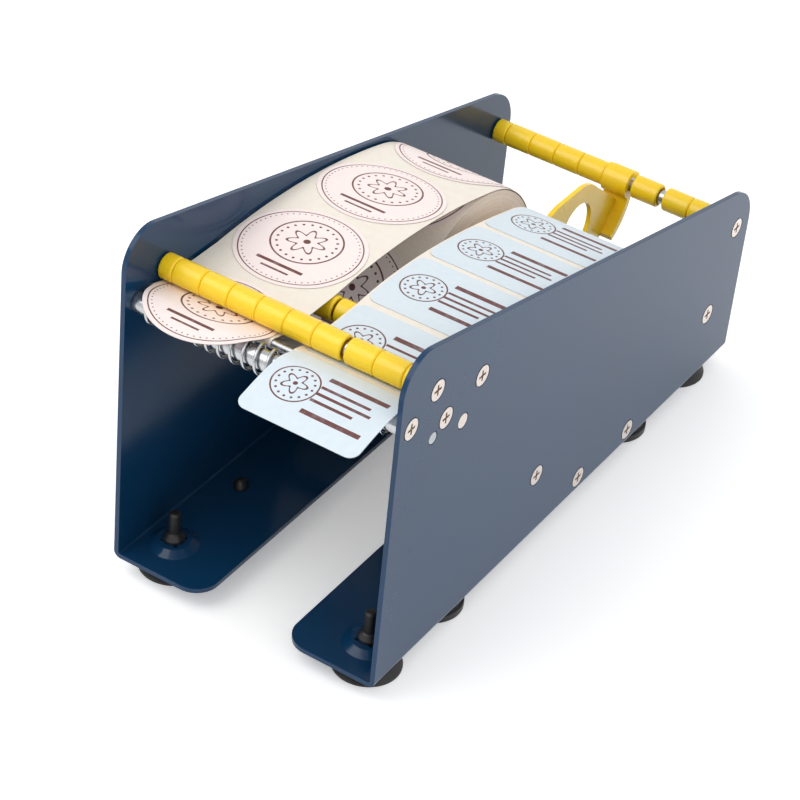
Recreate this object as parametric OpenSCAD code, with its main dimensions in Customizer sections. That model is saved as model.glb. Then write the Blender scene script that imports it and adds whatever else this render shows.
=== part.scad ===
// Tabletop label dispenser for two label rolls: two bent sheet side panels joined by rods,
// snap-on guide rollers, a peel bar, a coil-wrapped front rod, a swinging clip guide and rubber feet.
// Millimetres. X is the width, the labels leave at the front on -Y, Z is up, the ground is z = 0.

/* [Side panels] */
// Clear width between the side panels
inner_w = 114; // [112:1:130]
// Thickness of the bent sheet
sheet_t = 2; // [1.6:0.1:2.4]
// Depth of a side panel from front edge to rear edge
side_depth = 270; // [268:1:290]
// Height of the front edge, where it would meet the sloping top edge
front_h = 147; // [145:1:152]
// Height of the rear edge, where it would meet the sloping top edge
rear_h = 82; // [80:1:88]
// Rounding of the front top corner
front_corner_r = 14; // [8:1:16]
// Rounding of the rear top corner
rear_corner_r = 20; // [10:1:22]
// Width of the inward bottom flange, measured from the outer face
flange_w = 41; // [36:1:45]
// Rounding of the free flange corners
flange_corner_r = 10; // [4:1:12]
// Outer radius of the bend between panel and flange
bend_r = 3; // [2.5:0.5:3]

/* [Rods] */
// Diameter of the plain steel rods
rod_d = 6; // [5.6:0.1:6.4]
// Depth of the front guide rod behind the front edge
guide_y = 22.6; // [22:0.1:24]
// Drop of the front guide rod below the front edge's top
guide_drop = 25; // [24:0.1:25.4]
// Depth of the support rod
support_y = 53.4; // [50:0.2:58]
// Drop of the support rod below the front edge's top
support_drop = 36.6; // [36:0.2:38]
// Depth of the first cradle rod
cradle_front_y = 107; // [104:1:110]
// Height of the first cradle rod
cradle_front_z = 32; // [28:1:36]
// Depth of the second cradle rod
cradle_mid_y = 144; // [141:1:147]
// Height of the second and third cradle rods
cradle_low_z = 7.8; // [7.8:0.1:9.6]
// Depth of the third cradle rod
cradle_rear_y = 183.4; // [178:0.2:190]
// Distance of the rear stop rod from the rear edge
stop_inset = 25.2; // [22:0.2:27]
// Height of the rear stop rod
stop_z = 31.2; // [28:0.2:33]
// Distance of the rear top rod from the rear edge
rear_rod_inset = 11; // [10:0.5:12]
// Drop of the rear top rod below the rear edge's top
rear_rod_drop = 15; // [14:0.5:16]

/* [Rollers] */
// Outer diameter of a guide roller
roller_d = 10; // [9.6:0.1:10.2]
// Length of one guide roller
roller_len = 12; // [11:0.1:12.2]
// Length of the short roller at the left side panel
short_len = 6; // [4:0.5:7]
// Chamfer that makes the groove between two rollers
roller_chamfer = 0.5; // [0.3:0.1:0.8]
// Depth of the ring recess in a roller end
recess_depth = 1; // [0.5:0.1:2]
// Outer diameter of the ring recess in a roller end
recess_d = 8; // [7.4:0.1:8.6]
// Gap between a roller end and the next piece
end_gap = 0.4; // [0.3:0.1:0.6]
// Bare rod that shows between the two roller groups of the guide rod
guide_gap = 1.6; // [1:0.2:3]
// Bare rod between the two roller groups of the support rod
support_gap = 1; // [0.6:0.2:3]
// Bare rod between the single rear roller and the last rear rollers
rear_gap = 2.8; // [1:0.2:4]
// Shortest roller that may end a row
least_roller = 4; // [3:0.5:5]
// Full rollers in the left group of the guide rod
guide_left_rollers = 6; // [4:1:6]
// Full rollers in the left groups of the support rod and the rear rod
support_left_rollers = 4; // [3:1:4]

/* [Front rod and coil] */
// Diameter of the coil-wrapped front rod
coil_rod_d = 7.8; // [7:0.1:7.8]
// Depth of the front rod behind the front edge
coil_rod_y = 7.2; // [6.8:0.1:8]
// Drop of the front rod below the front edge's top
coil_rod_drop = 32.5; // [32.2:0.1:33.5]
// Mean radius of the coil
coil_r = 5.2; // [5.2:0.02:5.3]
// Diameter of the coil wire
coil_wire_d = 1.2; // [1:0.1:1.3]
// Bare rod at each end of the coil
coil_end_gap = 5; // [4:0.5:12]
// Number of curls in the coil
coil_turns = 20; // [14:1:24]

/* [Peel bar] */
// Depth of the rounded peeling edge
nose_y = 15.2; // [15:0.1:15.6]
// Drop of the rounded peeling edge below the front edge's top
nose_drop = 30.7; // [30.4:0.1:30.8]
// Radius of the rounded peeling edge
nose_r = 1.5; // [1:0.1:1.7]
// Depth of the rear end of the peel bar
tail_y = 43; // [42:0.2:44]
// Drop of the rear end of the peel bar below the front edge's top
tail_drop = 50.4; // [49.4:0.2:51]
// Radius of the rear end of the peel bar
tail_r = 4.6; // [4.2:0.1:5]
// Share of the peel bar's length at which its screws sit
bar_screw_share = 0.55; // [0.5:0.01:0.65]
// Diameter of the locating pins at the rear end of the peel bar
locating_pin_d = 6; // [4:0.5:6.4]
// Diameter of the thin liner rod under the peel bar
liner_rod_d = 4.8; // [4:0.1:5]
// Depth of the liner rod
liner_rod_y = 22.8; // [22:0.1:23.6]
// Drop of the liner rod below the front edge's top
liner_rod_drop = 45.8; // [45.4:0.1:47]

/* [Screws and pins] */
// Diameter of a countersunk screw head
screw_head_d = 8.2; // [8:0.1:8.6]
// Diameter of a screw shank
screw_shank_d = 4; // [3.6:0.1:4.2]
// Depth that a screw shank reaches into its rod
screw_reach = 10; // [8:1:14]
// Width of one arm of the cross recess
recess_arm_w = 1; // [0.8:0.1:1.2]
// Length across the cross recess
recess_arm_len = 4.6; // [4:0.1:5]
// Depth of the cross recess
recess_arm_depth = 1.4; // [1:0.1:1.6]
// Depth that a locating pin reaches into the peel bar
pin_reach = 8; // [6:1:12]

/* [Clip guide] */
// Outer diameter of the snap-on barrel
clip_d = 12.4; // [11.4:0.1:12.8]
// Length of the snap-on barrel
clip_len = 11.6; // [11:0.1:12]
// Width of the slot through which the rod snaps in
clip_slot = 4.4; // [4:0.1:5]
// Thickness of the curved arm
arm_t = 3; // [2:0.1:3.6]
// Inner radius of the curved arm
arm_r = 22; // [20:0.5:24]
// Thickness of the guide plate
plate_t = 2; // [1.6:0.1:2.6]
// Radius of the guide plate's rounded ends
plate_r = 20; // [18:0.5:21]
// Distance between the centres of the plate's rounded ends
plate_spread = 16; // [10:1:18]
// Distance of the finger hole in front of the rear rod
plate_back = 37; // [35:0.5:39]
// Drop of the finger hole below the rear rod
plate_drop = 6; // [4:0.5:8]
// Radius of the finger hole in the guide plate
plate_hole_r = 12; // [8:0.5:13]

/* [Feet] */
// Height of the panels above the ground
foot_h = 8; // [7:0.5:10]
// Distance of the feet from a side panel's outer face
foot_inset = 14.5; // [14:0.5:17]
// Distance of the corner feet from the front and rear edges
corner_foot_y = 18; // [17:0.5:24]
// Distance of the front bumper feet from the front edge
front_bumper_y = 61; // [56:1:70]
// Distance of the rear bumper feet from the rear edge
rear_bumper_inset = 68; // [56:1:80]
// Radius of a suction cup at the ground
cup_r = 13.5; // [12:0.1:14]
// Radius of the cup's collar under the flange
collar_r = 6; // [5:0.1:6.2]
// Radius of the pull-through stem
stem_r = 2.3; // [2:0.1:2.4]
// Height of the stem's top above the flange's underside
stem_top = 17; // [13:0.5:20]
// Radius of the stem's retaining cone
cone_r = 4.2; // [3.6:0.1:4.4]
// Radius of a bumper foot
bumper_r = 13; // [11:0.1:13.5]
// Radius of a bumper foot's upper tier
bumper_top_r = 11.4; // [9:0.1:12]
// Radius of a bumper foot's barbed cone
barb_r = 3; // [2.6:0.1:3.4]
// Radius of a bumper foot's neck in its hole
barb_neck_r = 2; // [1.6:0.1:2.2]
// Outer radius of the pressed dimple round a corner foot
dimple_r = 10; // [9:0.1:11]
// Radius of the dimple's flat top
dimple_top_r = 6.6; // [6.5:0.1:7.4]
// Height of the dimple
dimple_h = 2; // [1:0.1:2.4]
// Diameter of the small notches round a corner foot's hole
notch_d = 1.6; // [1:0.1:2]

/* [Label rolls] */
// Outer radius of the left label roll
left_roll_r = 48; // [44:1:50]
// Outer radius of the right label roll
right_roll_r = 46; // [42:1:50]
// Width of the left label roll and its web
left_web_w = 52; // [48:1:52]
// Space between the two label rolls
roll_gap = 9; // [7:0.5:12]
// Space between a label roll and the side panel beside it
roll_side_gap = 1; // [0.5:0.1:2]
// Inner diameter of the card cores
core_d = 25; // [20:1:32]
// Wall of the card cores
core_wall = 1.6; // [1:0.1:2.5]
// Thickness of the liner web
web_t = 0.4; // [0.3:0.05:0.5]
// Thickness of a label
label_t = 0.3; // [0.2:0.05:0.4]
// Angle at which the web leaves a roll, from the rear horizontal
leave_angle = 75; // [68:1:80]
// Angle round a roll that the outermost turn covers behind that point
wrap_angle = 35; // [20:1:50]
// Length of the liner end that lies under the peel bar
liner_tail = 20; // [12:1:24]
// Diameter of a round sticker
sticker_d = 50; // [44:1:50]
// Distance between two round stickers on the left web
sticker_pitch = 54; // [53:1:58]
// Depth of the first round sticker's centre behind the front edge
sticker_y = 15; // [13:1:18]
// Liner that shows on each side of a rectangular label
label_margin = 1; // [0.8:0.1:3]
// Length of a rectangular label
label_len = 37; // [32:1:38]
// Distance between two rectangular labels on the right web
label_pitch = 40; // [39:1:44]
// Rounding of a rectangular label's corners
label_corner_r = 4; // [2:0.5:5]
// Reach of the dispensed label in front of the side panels
label_reach = 22; // [18:1:24]
// Drop of the dispensed label's tip below the top of the coil
label_droop = 3.6; // [0:0.2:5]
// Rise of the dispensed sticker above the top of the coil, as far forward as the label's tip
sticker_rise = 0.8; // [0:0.2:2]

/* [Clearances] */
// Gap between a web or roll and whatever turns beside it
run_gap = 0.3; // [0.25:0.05:0.4]
// Diametral clearance of a roller on its rod
bore_gap = 0.16; // [0.12:0.02:0.2]
// Gap between a label that is leaving the web and the web
label_gap = 0.02; // [0.01:0.01:0.05]
// Gap round a screw's shank or a foot's neck in its hole
fit_gap = 0.1; // [0.05:0.05:0.2]
// Gap round a pin that shows on a side panel
head_gap = 0.25; // [0.1:0.05:0.3]
// Width of the open ring between a screw head and the rim of its countersink
sink_gap = 0.6; // [0.4:0.05:0.7]

/* [Hidden] */
$fn = 48;

half_w = inner_w / 2;
outer_half = half_w + sheet_t;
front_shift = (label_reach - side_depth) / 2;
top_angle = atan2(front_h - rear_h, side_depth);
roller_r = roller_d / 2;
roller_bore_d = rod_d + bore_gap;
inner_bend_r = bend_r - sheet_t;
head_small_d = screw_shank_d + 2 * fit_gap;

// where each screw goes through the side panels, in depth and height
guide_z = front_h - guide_drop;
nose = [nose_y, front_h - nose_drop];
bar_end = [tail_y, front_h - tail_drop];
bar_screw = nose + bar_screw_share * (bar_end - nose);
guide_at = [guide_y, guide_z];
support_at = [support_y, front_h - support_drop];
cradle_front_at = [cradle_front_y, cradle_front_z];
cradle_mid_at = [cradle_mid_y, cradle_low_z];
cradle_rear_at = [cradle_rear_y, cradle_low_z];
stop_at = [side_depth - stop_inset, stop_z];
rear_rod_at = [side_depth - rear_rod_inset, rear_h - rear_rod_drop];
coil_rod_at = [coil_rod_y, front_h - coil_rod_drop];
liner_rod_at = [liner_rod_y, front_h - liner_rod_drop];
SCREWS = [guide_at, support_at, cradle_front_at, cradle_mid_at, cradle_rear_at,
          stop_at, rear_rod_at, coil_rod_at, bar_screw];

function arc(c, r, a0, a1, n) =
    [for (i = [0:n]) c + r * [cos(a0 + (a1 - a0) * i / n), sin(a0 + (a1 - a0) * i / n)]];
function bezier(p0, p1, p2, p3, n) =
    [for (i = [1:n]) let (t = i / n, s = 1 - t)
        s * s * s * p0 + 3 * s * s * t * p1 + 3 * s * t * t * p2 + t * t * t * p3];
function unit(v) = v / norm(v);
function left_of(v) = [-v[1], v[0]];

// moves the design from the front edge and the panels' underside to the ground frame
module place() {
    translate([0, front_shift, foot_h]) children();
}

// stands a depth-height outline up and gives it a width from x0 to x1
module across(x0, x1) {
    translate([x0, 0, 0]) rotate([90, 0, 90]) linear_extrude(height = x1 - x0) children();
}

module rod(at, d, x0, x1) {
    translate([x0, at[0], at[1]]) rotate([0, 90, 0]) cylinder(d = d, h = x1 - x0);
}

// ---------- side panels ----------
// centres of the two rounded top corners, from the edge lines that they touch
front_tangent = front_corner_r / tan((90 - top_angle) / 2);
rear_tangent = rear_corner_r / tan((90 + top_angle) / 2);
front_corner = [front_corner_r, front_h - front_tangent];
rear_corner = [side_depth - rear_corner_r, rear_h - rear_tangent];

module panel_outline() {
    polygon(concat([[0, bend_r], [side_depth, bend_r]],
                   arc(rear_corner, rear_corner_r, 0, 90 - top_angle, 16),
                   arc(front_corner, front_corner_r, 90 - top_angle, 180, 16)));
}

FEET = [corner_foot_y, side_depth - corner_foot_y];
BUMPERS = [front_bumper_y, side_depth - rear_bumper_inset];
hole_r = stem_r + 0.4 + fit_gap;

module flange_plate() {
    far = flange_w - flange_corner_r;
    linear_extrude(height = sheet_t)
        polygon(concat([[bend_r, 0]],
                       arc([far, flange_corner_r], flange_corner_r, -90, 0, 12),
                       arc([far, side_depth - flange_corner_r], flange_corner_r, 0, 90, 12),
                       [[bend_r, side_depth]]));
}

module bend() {
    translate([bend_r, side_depth, bend_r]) rotate([90, 0, 0])
        linear_extrude(height = side_depth)
        difference() {
            intersection() {
                circle(r = bend_r);
                translate([-bend_r, -bend_r]) square(bend_r);
            }
            circle(r = inner_bend_r);
        }
}

// one panel seen from its outer face at x = 0, with the flange towards +X
module panel() {
    difference() {
        union() {
            across(0, sheet_t) panel_outline();
            flange_plate();
            bend();
            for (y = FEET) {
                translate([foot_inset, y, sheet_t])
                    cylinder(r1 = dimple_r, r2 = dimple_top_r, h = dimple_h);
            }
        }
        for (y = FEET) {
            translate([foot_inset, y, 0]) {
                cylinder(r1 = dimple_r, r2 = dimple_top_r, h = dimple_h);
                translate([0, 0, -1]) cylinder(r = hole_r, h = dimple_h + sheet_t + 2);
                for (a = [45:90:315]) {
                    rotate(a) translate([cone_r + 0.2, 0, -1])
                        cylinder(d = notch_d, h = dimple_h + sheet_t + 2);
                }
            }
        }
        for (y = BUMPERS) {
            translate([foot_inset, y, -1])
                cylinder(r = barb_neck_r + fit_gap, h = sheet_t + 2);
        }
        for (p = SCREWS) {
            screw_hole(p);
        }
        rod(bar_end, locating_pin_d + 2 * head_gap, -1, sheet_t + 1);
        rod(liner_rod_at, liner_rod_d + 2 * head_gap, -1, sheet_t + 1);
    }
}

// countersunk all the way through the sheet
module screw_hole(p) {
    translate([0, p[0], p[1]]) rotate([0, 90, 0])
        cylinder(d1 = screw_head_d + 2 * sink_gap, d2 = head_small_d + 2 * fit_gap,
                 h = sheet_t);
}

module left_side_panel() {
    color("midnightblue") place() translate([-outer_half, 0, 0]) panel();
}

module right_side_panel() {
    color("midnightblue") place() mirror([1, 0, 0]) translate([-outer_half, 0, 0]) panel();
}

// ---------- rods and screws ----------
module tapped_rod(at, d) {
    color("silver") place() difference() {
        rod(at, d, -half_w, half_w);
        rod(at, screw_shank_d + fit_gap, -half_w - 1, -half_w + screw_reach + 1);
        rod(at, screw_shank_d + fit_gap, half_w - screw_reach - 1, half_w + 1);
    }
}

module guide_rod() tapped_rod(guide_at, rod_d);
module support_rod() tapped_rod(support_at, rod_d);
module cradle_rod_front() tapped_rod(cradle_front_at, rod_d);
module cradle_rod_middle() tapped_rod(cradle_mid_at, rod_d);
module cradle_rod_rear() tapped_rod(cradle_rear_at, rod_d);
module stop_rod() tapped_rod(stop_at, rod_d);
module rear_rod() tapped_rod(rear_rod_at, rod_d);
module coil_rod() tapped_rod(coil_rod_at, coil_rod_d);

// a screw along +X with its head's face at x = 0
module screw() {
    rotate([0, 90, 0]) difference() {
        union() {
            cylinder(d1 = screw_head_d, d2 = head_small_d, h = sheet_t);
            cylinder(d = screw_shank_d, h = sheet_t + screw_reach);
        }
        for (a = [0, 90]) {
            rotate(a) translate([-recess_arm_len / 2, -recess_arm_w / 2, -1])
                cube([recess_arm_len, recess_arm_w, recess_arm_depth + 1]);
        }
    }
}

module countersunk_screws() {
    color("gainsboro") place() for (p = SCREWS) {
        translate([-outer_half, p[0], p[1]]) screw();
        mirror([1, 0, 0]) translate([-outer_half, p[0], p[1]]) screw();
    }
}

module locating_pins() {
    color("gainsboro") place() {
        rod(bar_end, locating_pin_d, -outer_half, -half_w + pin_reach);
        rod(bar_end, locating_pin_d, half_w - pin_reach, outer_half);
    }
}

module liner_rod() {
    color("silver") place() rod(liner_rod_at, liner_rod_d, -outer_half, outer_half);
}

// ---------- peel bar ----------
bar_axis = unit(bar_end - nose);
bar_len = norm(bar_end - nose);
bar_taper = asin((tail_r - nose_r) / bar_len);
upper_normal = [sin(bar_taper) * -bar_axis[0] + cos(bar_taper) * -bar_axis[1],
                cos(bar_taper) * bar_axis[0] + sin(bar_taper) * -bar_axis[1]];
lower_normal = [sin(bar_taper) * -bar_axis[0] + cos(bar_taper) * bar_axis[1],
                -cos(bar_taper) * bar_axis[0] + sin(bar_taper) * -bar_axis[1]];

module peel_bar() {
    color("silver") place() difference() {
        union() {
            across(-half_w, half_w)
                polygon([nose + nose_r * upper_normal, nose + nose_r * lower_normal,
                         bar_end + tail_r * lower_normal, bar_end + tail_r * upper_normal]);
            rod(nose, 2 * nose_r, -half_w, half_w);
            rod(bar_end, 2 * tail_r, -half_w, half_w);
        }
        for (s = [-1, 1]) {
            x0 = s < 0 ? -half_w - 1 : half_w - screw_reach - 1;
            rod(bar_screw, screw_shank_d + fit_gap, x0, x0 + screw_reach + 2);
            p0 = s < 0 ? -half_w - 1 : half_w - pin_reach - 1;
            rod(bar_end, locating_pin_d + fit_gap, p0, p0 + pin_reach + 2);
        }
    }
}

// ---------- rollers ----------
// rollers of the given lengths in a row from x0, joined, with a groove between neighbours
module roller_row(at, x0, lengths) {
    starts = [for (i = [0:len(lengths) - 1]) x0 + sum_to(lengths, i)];
    end = x0 + sum_to(lengths, len(lengths));
    color("gold") place() translate([0, at[0], at[1]]) difference() {
        union() {
            for (i = [0:len(lengths) - 1]) {
                one_roller(starts[i], lengths[i]);
            }
        }
        rod([0, 0], roller_bore_d, x0 - 1, end + 1);
        rod([0, 0], recess_d, x0 - 1, x0 + recess_depth);
        rod([0, 0], recess_d, end - recess_depth, end + 1);
    }
}

function sum_to(v, n) = n <= 0 ? 0 : v[n - 1] + sum_to(v, n - 1);
function repeat(v, n) = [for (i = [0:1:n - 1]) v];
// full rollers for as long as they fit, and a last one that takes what is left of the length
function filled_row(length) =
    let (full = floor(length / roller_len), rest = length - full * roller_len)
    rest < least_roller ? concat(repeat(roller_len, full - 1), [roller_len + rest])
                        : concat(repeat(roller_len, full), [rest]);

module one_roller(x0, length) {
    small_r = roller_r - roller_chamfer;
    translate([x0, 0, 0]) rotate([0, 90, 0])
        rotate_extrude()
        polygon([[0, 0], [small_r, 0], [roller_r, roller_chamfer],
                 [roller_r, length - roller_chamfer], [small_r, length], [0, length]]);
}

row_start = -half_w + end_gap;
row_end = half_w - end_gap;
guide_left_row = concat([short_len], repeat(roller_len, guide_left_rollers));
guide_right_start = row_start + sum_to(guide_left_row, len(guide_left_row)) + guide_gap;
guide_right_row = filled_row(row_end - guide_right_start);
left_row = concat([short_len], repeat(roller_len, support_left_rollers));
left_row_end = row_start + sum_to(left_row, len(left_row));
support_right_start = left_row_end + support_gap;
support_right_row = filled_row(row_end - support_right_start);
clip_start = left_row_end + end_gap;
clip_end = clip_start + clip_len;
single_start = clip_end + guide_gap;
rear_right_start = single_start + roller_len + rear_gap;
rear_right_row = filled_row(row_end - rear_right_start);

module guide_rollers_left() roller_row(guide_at, row_start, guide_left_row);
module guide_rollers_right() roller_row(guide_at, guide_right_start, guide_right_row);
module support_rollers_left() roller_row(support_at, row_start, left_row);
module support_rollers_right() roller_row(support_at, support_right_start, support_right_row);
module rear_rollers_left() roller_row(rear_rod_at, row_start, left_row);
module rear_roller_single() roller_row(rear_rod_at, single_start, [roller_len]);
module rear_rollers_right() roller_row(rear_rod_at, rear_right_start, rear_right_row);

// ---------- clip guide ----------
// in depth and height from the rear rod's axis
arm_centre = [-arm_r - arm_t / 2, 0];
arm_sweep = 62;
plate_rear = [-plate_back, -plate_drop];
wedge_reach = 2 * (arm_r + arm_t);
plate_front = plate_rear + [-plate_spread, 0];
plate_x = (clip_start + clip_end) / 2 - plate_t / 2;
foot_of_arm = arm_centre + (arm_r + arm_t / 2) * [cos(arm_sweep), -sin(arm_sweep)];

module clip_guide() {
    color("gold") place() translate([0, rear_rod_at[0], rear_rod_at[1]]) {
        difference() {
            union() {
                rod([0, 0], clip_d, clip_start, clip_end);
                across(clip_start, clip_end) difference() {
                    intersection() {
                        translate(arm_centre) circle(r = arm_r + arm_t);
                        polygon([arm_centre, arm_centre + [wedge_reach, 0],
                                 arm_centre + wedge_reach * [cos(arm_sweep), -sin(arm_sweep)]]);
                    }
                    translate(arm_centre) circle(r = arm_r);
                }
            }
            rod([0, 0], roller_bore_d, clip_start - 1, clip_end + 1);
            translate([clip_start - 1, 0, -clip_slot / 2]) rotate([50, 0, 0])
                cube([clip_len + 2, clip_d, clip_slot]);
        }
        across(plate_x, plate_x + plate_t) difference() {
            union() {
                translate(plate_rear) circle(r = plate_r);
                translate(plate_front) circle(r = plate_r);
                translate(plate_front - [0, plate_r]) square([plate_spread, 2 * plate_r]);
                polygon([plate_rear + plate_r * [cos(55), sin(55)],
                         arm_centre + (arm_r + 1) * [cos(22), -sin(22)],
                         arm_centre + (arm_r + 1) * [cos(42), -sin(42)],
                         foot_of_arm,
                         plate_rear - [0, plate_r]]);
            }
            translate(plate_rear) circle(r = plate_hole_r);
        }
    }
}

// ---------- coil on the front rod ----------
coil_len = inner_w - 2 * coil_end_gap;
coil_rings = 8;
coil_sides = 6;
coil_pitch = coil_len / coil_turns;
coil_curl_rings = coil_turns * coil_rings;
function coil_along(a) =
    unit([coil_pitch / 360 * 180 / PI, -coil_r * sin(a), coil_r * cos(a)]);
function coil_point(i) = [-coil_len / 2 + coil_pitch * i / coil_rings,
                          coil_r * cos(360 * i / coil_rings),
                          coil_r * sin(360 * i / coil_rings)];
// a ring across the wire, from the radial and the crosswise direction at that point,
// moved on along the wire by a given length
function coil_ring(i, ahead = 0) =
    let (a = 360 * i / coil_rings,
         radial = [0, cos(a), sin(a)],
         side = cross(coil_along(a), radial))
    [for (k = [0:coil_sides - 1]) let (b = 360 * k / coil_sides)
        coil_point(i) + ahead * coil_along(a)
            + coil_wire_d / 2 * (cos(b) * radial + sin(b) * side)];
// each end of the wire runs on straight for one wire diameter
coil_points = concat(coil_ring(0, -coil_wire_d),
                     [for (i = [0:coil_curl_rings]) each coil_ring(i)],
                     coil_ring(coil_curl_rings, coil_wire_d));
coil_count = coil_curl_rings + 2;
coil_faces = concat(
    [for (k = [1:coil_sides - 2]) [0, k + 1, k]],
    [for (i = [0:coil_count - 1]) for (k = [0:coil_sides - 1])
        let (a = i * coil_sides + k, b = i * coil_sides + (k + 1) % coil_sides)
        [a, b, a + coil_sides]],
    [for (i = [0:coil_count - 1]) for (k = [0:coil_sides - 1])
        let (a = i * coil_sides + k, b = i * coil_sides + (k + 1) % coil_sides)
        [b, b + coil_sides, a + coil_sides]],
    [for (k = [1:coil_sides - 2])
        let (e = coil_count * coil_sides) [e, e + k, e + k + 1]]);
coil_least_gap = min([for (i = [0:coil_rings]) for (j = [i + coil_rings - 3:i + coil_rings + 3])
    norm(coil_point(i) - coil_point(j))]) - coil_wire_d;
echo("least gap of the coil to itself, mm", coil_least_gap);

module coil_spring() {
    color("lightgray") place() translate([0, coil_rod_at[0], coil_rod_at[1]])
        polyhedron(points = coil_points, faces = coil_faces, convexity = 10);
}

// ---------- label rolls and webs ----------
// a roll lies in the cradle, a run_gap clear of the two front cradle rods
function roll_centre(r) =
    let (reach = r + rod_d / 2 + run_gap,
         base = cradle_mid_at - cradle_front_at,
         half = norm(base) / 2)
    (cradle_front_at + cradle_mid_at) / 2
        + sqrt(reach * reach - half * half) * left_of(unit(base));
left_roll_at = roll_centre(left_roll_r);
right_roll_at = roll_centre(right_roll_r);
left_x0 = -half_w + roll_side_gap;
left_x1 = left_x0 + left_web_w;
right_x1 = half_w - roll_side_gap;
right_x0 = left_x1 + roll_gap;
label_w = right_x1 - right_x0 - 2 * label_margin;
core_r = core_d / 2 + core_wall;

module paper_roll(at, r, x0, x1) {
    color("linen") place() difference() {
        rod(at, 2 * r, x0, x1);
        rod(at, 2 * core_r, x0 - 1, x1 + 1);
    }
}

module roll_core(at, x0, x1) {
    color("tan") place() difference() {
        rod(at, 2 * core_r, x0, x1);
        rod(at, core_d, x0 - 1, x1 + 1);
    }
}

module left_label_roll() paper_roll(left_roll_at, left_roll_r, left_x0, left_x1);
module right_label_roll() paper_roll(right_roll_at, right_roll_r, right_x0, right_x1);
module left_roll_core() roll_core(left_roll_at, left_x0, left_x1);
module right_roll_core() roll_core(right_roll_at, right_x0, right_x1);

// middle line of a web: off the roll, over the support rollers, under the guide rollers,
// round the peeling edge and back along the underside of the peel bar
wrap_r = nose_r + fit_gap / 2 + web_t / 2;
over_support = support_at + [0, roller_r + run_gap + web_t / 2];
under_guide = guide_at - [0, roller_r + 2 * run_gap + label_t + web_t / 2];
lower_angle = atan2(lower_normal[1], lower_normal[0]) + 360;
to_nose = nose - under_guide;
rise_angle = 180 - atan2(to_nose[1], to_nose[0]) + asin(wrap_r / norm(to_nose));
under_bar = [-lower_normal[1], lower_normal[0]];

function web_route(at, r) =
    let (r_web = r + run_gap + web_t / 2,
         leave = at + r_web * [cos(leave_angle), sin(leave_angle)],
         ahead = [-sin(leave_angle), cos(leave_angle)])
    concat(arc(at, r_web, leave_angle - wrap_angle, leave_angle, 8),
           bezier(leave, leave + 38 * ahead, over_support + [35, 3], over_support, 16),
           [under_guide],
           arc(nose, wrap_r, 90 - rise_angle, lower_angle, 12),
           [nose + wrap_r * lower_normal + liner_tail * under_bar]);

function normal_at(route, i) =
    let (a = route[max(i - 1, 0)], b = route[min(i + 1, len(route) - 1)])
    left_of(unit(b - a));
function beside(route, d) =
    [for (i = [0:len(route) - 1]) route[i] + d * normal_at(route, i)];
function backwards(v) = [for (i = [len(v) - 1:-1:0]) v[i]];

// a strip of even thickness that follows a route, from offset d0 to offset d1 beside it
module strip(route, d0, d1) {
    polygon(concat(beside(route, d0), backwards(beside(route, d1))));
}

left_route = web_route(left_roll_at, left_roll_r);
right_route = web_route(right_roll_at, right_roll_r);

module left_web() {
    color("linen") place() across(left_x0, left_x1)
        strip(left_route, -web_t / 2, web_t / 2);
}

module right_web() {
    color("linen") place() across(right_x0, right_x1)
        strip(right_route, -web_t / 2, web_t / 2);
}

// labels lie on the web's upper side, which is on the right hand of its forward route
upper_points = 26;
function on_web(route) = [for (i = [0:upper_points - 1]) route[i]];
left_mid = (left_x0 + left_x1) / 2;
right_mid = (right_x0 + right_x1) / 2;

module round_area(y) {
    translate([left_mid, y, 0]) cylinder(d = sticker_d, h = 2 * front_h);
}

module label_area(y0, y1) {
    x0 = right_mid - label_w / 2;
    r = label_corner_r;
    linear_extrude(height = 2 * front_h)
        polygon(concat(arc([x0 + r, y0 + r], r, 180, 270, 6),
                       arc([x0 + label_w - r, y0 + r], r, 270, 360, 6),
                       arc([x0 + label_w - r, y1 - r], r, 0, 90, 6),
                       arc([x0 + r, y1 - r], r, 90, 180, 6)));
}

module left_web_stickers() {
    color("mistyrose") place() intersection() {
        across(left_x0, left_x1)
            strip(on_web(left_route), -web_t / 2 - label_t, -web_t / 2);
        union() {
            for (i = [1:3]) {
                round_area(sticker_y + i * sticker_pitch);
            }
        }
    }
}

module right_web_labels() {
    color("aliceblue") place() intersection() {
        across(right_x0, right_x1)
            strip(on_web(right_route), -web_t / 2 - label_t, -web_t / 2);
        union() {
            for (i = [0:3]) {
                label_area(label_end_y + (i + 1) * label_pitch - label_len,
                           label_end_y + (i + 1) * label_pitch);
            }
        }
    }
}

// the labels that have left the web run on over the coil and droop a little
label_lift = web_t / 2 + label_t / 2 + label_gap;
label_end_y = nose_y;
lead = under_guide + label_lift / cos(rise_angle / 2) * [sin(rise_angle / 2), cos(rise_angle / 2)];
over_coil = [coil_rod_y, lead[1] + (lead[0] - coil_rod_y) * tan(rise_angle)];
coil_top = coil_rod_at[1] + coil_r + coil_wire_d / 2;
on_support = over_support + [0, label_lift];
function out_route(tip_z) =
    let (tip = [-label_reach, tip_z])
    concat([on_support, lead, over_coil],
           bezier(over_coil, over_coil + 6 * [-cos(rise_angle), sin(rise_angle)],
                  tip + [12, (over_coil[1] - tip_z) * 0.75], tip, 10));
label_route = out_route(coil_top - label_droop);
sticker_route = out_route(coil_top + sticker_rise);

module dispensed_sticker() {
    color("mistyrose") place() intersection() {
        across(left_x0, left_x1) strip(sticker_route, -label_t / 2, label_t / 2);
        round_area(sticker_y);
    }
}

module dispensed_label() {
    color("aliceblue") place() intersection() {
        across(right_x0, right_x1) strip(label_route, -label_t / 2, label_t / 2);
        label_area(-label_reach, label_end_y);
    }
}

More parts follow.
